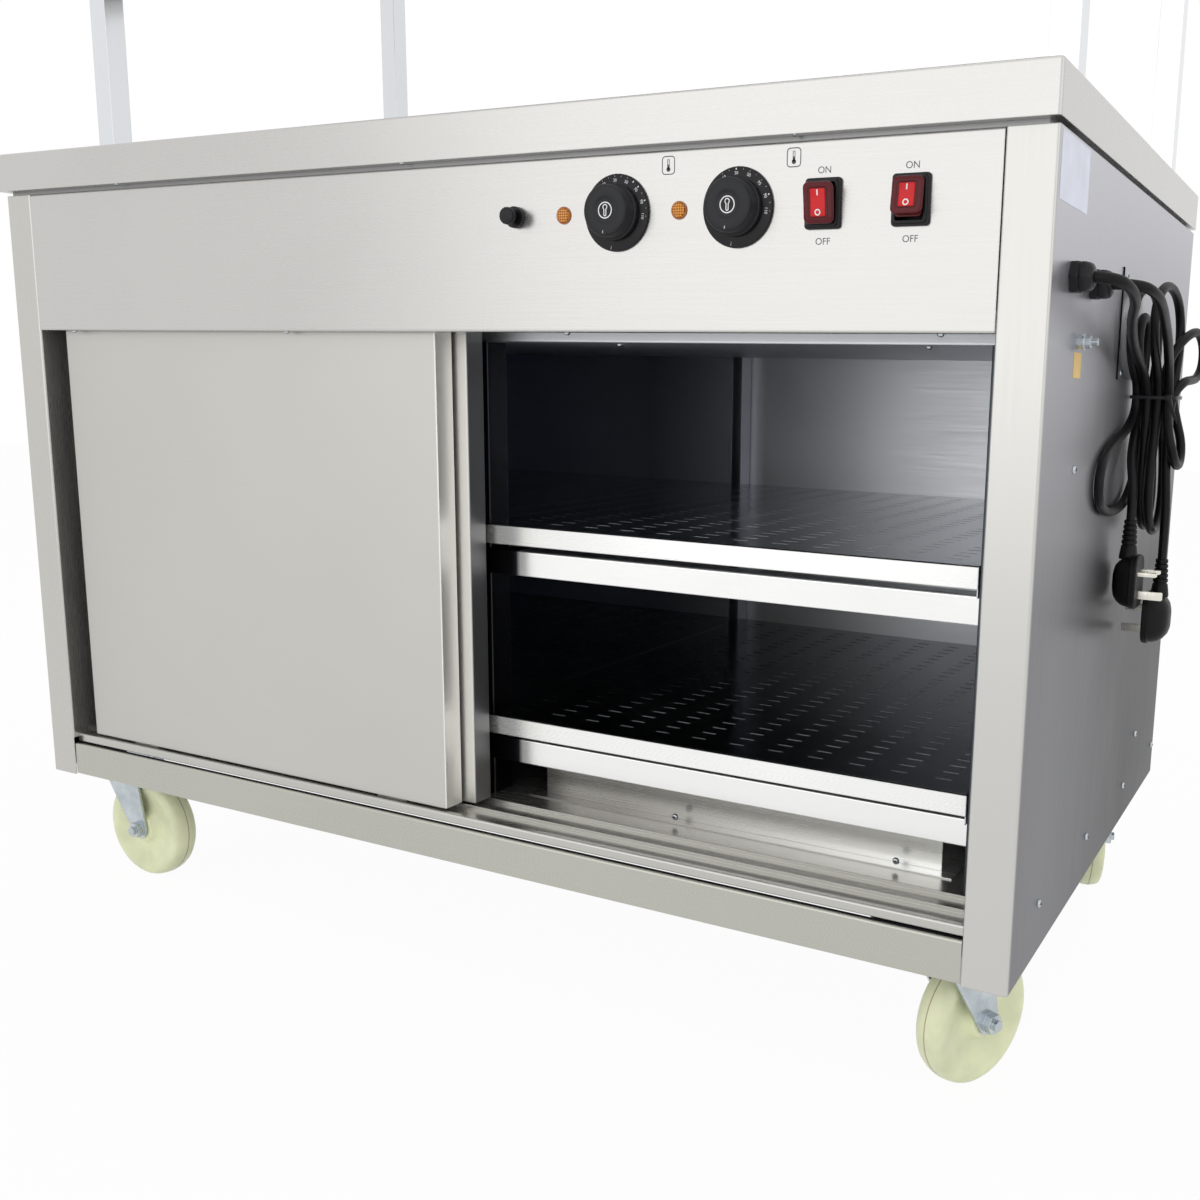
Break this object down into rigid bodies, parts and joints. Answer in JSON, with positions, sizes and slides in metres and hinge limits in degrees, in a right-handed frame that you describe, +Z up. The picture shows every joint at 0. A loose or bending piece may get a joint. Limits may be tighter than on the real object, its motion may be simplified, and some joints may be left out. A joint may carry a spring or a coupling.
{
  "type": "mobile food service counter",
  "caption": "Heated stainless cupboard on swivel castors with sliding doors, perforated shelves, a control fascia, a flat worktop and an overhead gantry.",
  "frame": {"origin": "on the floor under the middle of the worktop", "axes": "+Z up, front with the doors and controls faces -Y, +X to the right seen from the front"},
  "size_m": [1.258, 0.7128, 1.26],
  "materials": {
    "stainless_steel": "fine brushed",
    "zinc_plated_steel": "bright zinc",
    "aluminium": "mill",
    "mineral_wool": "fibrous",
    "element_steel": "oxidised",
    "heater_mat": "matte",
    "black_plastic": "satin",
    "grey_plastic": "satin",
    "white_plastic": "satin",
    "amber_lens": "faceted",
    "red_plastic": "gloss",
    "brass_nickel": "plated",
    "black_rubber": "satin",
    "nylon": "satin"
  },
  "bodies": {
    "cabinet": {"side_panel_left": "stainless_steel", "side_panel_right": "stainless_steel", "inner_linings": "stainless_steel", "back_panel": "stainless_steel", "base_pan": "stainless_steel", "bottom_rail": "stainless_steel", "control_fascia": "stainless_steel", "ceiling_lining": "stainless_steel", "shelf_supports": "stainless_steel", "upper_shelf_boards": "stainless_steel", "lower_shelf_boards": "stainless_steel", "heater_covers": "stainless_steel", "worktop": "stainless_steel", "gantry_posts": "stainless_steel", "canopy": "stainless_steel", "lamp_trough": "stainless_steel", "service_cover": "stainless_steel", "castor_channels": "zinc_plated_steel", "castor_plates": "zinc_plated_steel", "electrics_tray": "zinc_plated_steel", "top_frame": "zinc_plated_steel", "door_track": "aluminium", "insulation_slabs": "mineral_wool", "heating_elements": "element_steel", "worktop_heater": "heater_mat", "dial_bezels": "black_plastic", "thermostats": "grey_plastic", "pilot_lamps": "amber_lens", "thermal_cutout": "black_plastic", "switch_frames": "black_plastic", "terminal_block": "white_plastic", "cord_glands": "black_plastic", "bonding_stud": "brass_nickel", "cord_front_lead": "black_rubber", "cord_rear_lead": "black_rubber", "cord_front_tail": "black_rubber", "cord_rear_tail": "black_rubber", "cord_hank": "black_rubber", "cable_tie": "black_plastic", "plug_front": "black_rubber", "plug_rear": "black_rubber"},
    "front_door": {"front_door_skin": "stainless_steel", "front_door_liner": "stainless_steel", "front_door_glides": "white_plastic"},
    "rear_door": {"rear_door_skin": "stainless_steel", "rear_door_liner": "stainless_steel", "rear_door_glides": "white_plastic"},
    "knob_left": {"knob_left": "black_plastic"},
    "knob_right": {"knob_right": "black_plastic"},
    "rocker_main": {"rocker_main": "red_plastic"},
    "rocker_lights": {"rocker_lights": "red_plastic"},
    "reset_button": {"reset_button": "black_plastic"},
    "castor_front_left_fork": {"castor_front_left_fork": "zinc_plated_steel"},
    "castor_front_left_wheel": {"castor_front_left_wheel": "nylon"},
    "castor_front_right_fork": {"castor_front_right_fork": "zinc_plated_steel"},
    "castor_front_right_wheel": {"castor_front_right_wheel": "nylon"},
    "castor_rear_left_fork": {"castor_rear_left_fork": "zinc_plated_steel"},
    "castor_rear_left_wheel": {"castor_rear_left_wheel": "nylon"},
    "castor_rear_right_fork": {"castor_rear_right_fork": "zinc_plated_steel"},
    "castor_rear_right_wheel": {"castor_rear_right_wheel": "nylon"}
  },
  "joints": [
    {"name": "front_door_slide", "type": "slide", "parent": "cabinet", "child": "front_door", "axis": [1, 0, 0], "range_m": [0, 0.526]},
    {"name": "rear_door_slide", "type": "slide", "parent": "cabinet", "child": "rear_door", "axis": [1, 0, 0], "range_m": [-0.015, 0.511]},
    {"name": "knob_left_turn", "type": "hinge", "parent": "cabinet", "child": "knob_left", "pos_m": [0.2225, -0.342, 0.7575], "axis": [0, -1, 0], "range_deg": [-270, 0]},
    {"name": "knob_right_turn", "type": "hinge", "parent": "cabinet", "child": "knob_right", "pos_m": [0.3388, -0.342, 0.7575], "axis": [0, -1, 0], "range_deg": [-270, 0]},
    {"name": "rocker_main_rock", "type": "hinge", "parent": "cabinet", "child": "rocker_main", "pos_m": [0.4145, -0.341, 0.7575], "axis": [1, 0, 0], "range_deg": [-18, 0]},
    {"name": "rocker_lights_rock", "type": "hinge", "parent": "cabinet", "child": "rocker_lights", "pos_m": [0.4875, -0.341, 0.7575], "axis": [1, 0, 0], "range_deg": [0, 18]},
    {"name": "reset_press", "type": "slide", "parent": "cabinet", "child": "reset_button", "axis": [0, 1, 0], "range_m": [0, 0.0025], "stiffness_N_per_m": 800},
    {"name": "castor_front_left_swivel", "type": "hinge", "parent": "cabinet", "child": "castor_front_left_fork", "pos_m": [-0.53, -0.291, 0.14], "axis": [0, 0, 1], "continuous": true},
    {"name": "castor_front_left_roll", "type": "hinge", "parent": "castor_front_left_fork", "child": "castor_front_left_wheel", "pos_m": [-0.492, -0.291, 0.0625], "axis": [0, 1, 0], "continuous": true},
    {"name": "castor_front_right_swivel", "type": "hinge", "parent": "cabinet", "child": "castor_front_right_fork", "pos_m": [0.53, -0.291, 0.14], "axis": [0, 0, 1], "continuous": true},
    {"name": "castor_front_right_roll", "type": "hinge", "parent": "castor_front_right_fork", "child": "castor_front_right_wheel", "pos_m": [0.54534, -0.25623, 0.0625], "axis": [-0.915, 0.4035, 0], "continuous": true},
    {"name": "castor_rear_left_swivel", "type": "hinge", "parent": "cabinet", "child": "castor_rear_left_fork", "pos_m": [-0.53, 0.291, 0.14], "axis": [0, 0, 1], "continuous": true},
    {"name": "castor_rear_left_roll", "type": "hinge", "parent": "castor_rear_left_fork", "child": "castor_rear_left_wheel", "pos_m": [-0.49429, 0.278, 0.0625], "axis": [0.342, 0.9397, 0], "continuous": true},
    {"name": "castor_rear_right_swivel", "type": "hinge", "parent": "cabinet", "child": "castor_rear_right_fork", "pos_m": [0.53, 0.291, 0.14], "axis": [0, 0, 1], "continuous": true},
    {"name": "castor_rear_right_roll", "type": "hinge", "parent": "castor_rear_right_fork", "child": "castor_rear_right_wheel", "pos_m": [0.54174, 0.25486, 0.0625], "axis": [0.9511, 0.309, 0], "continuous": true}
  ]
}
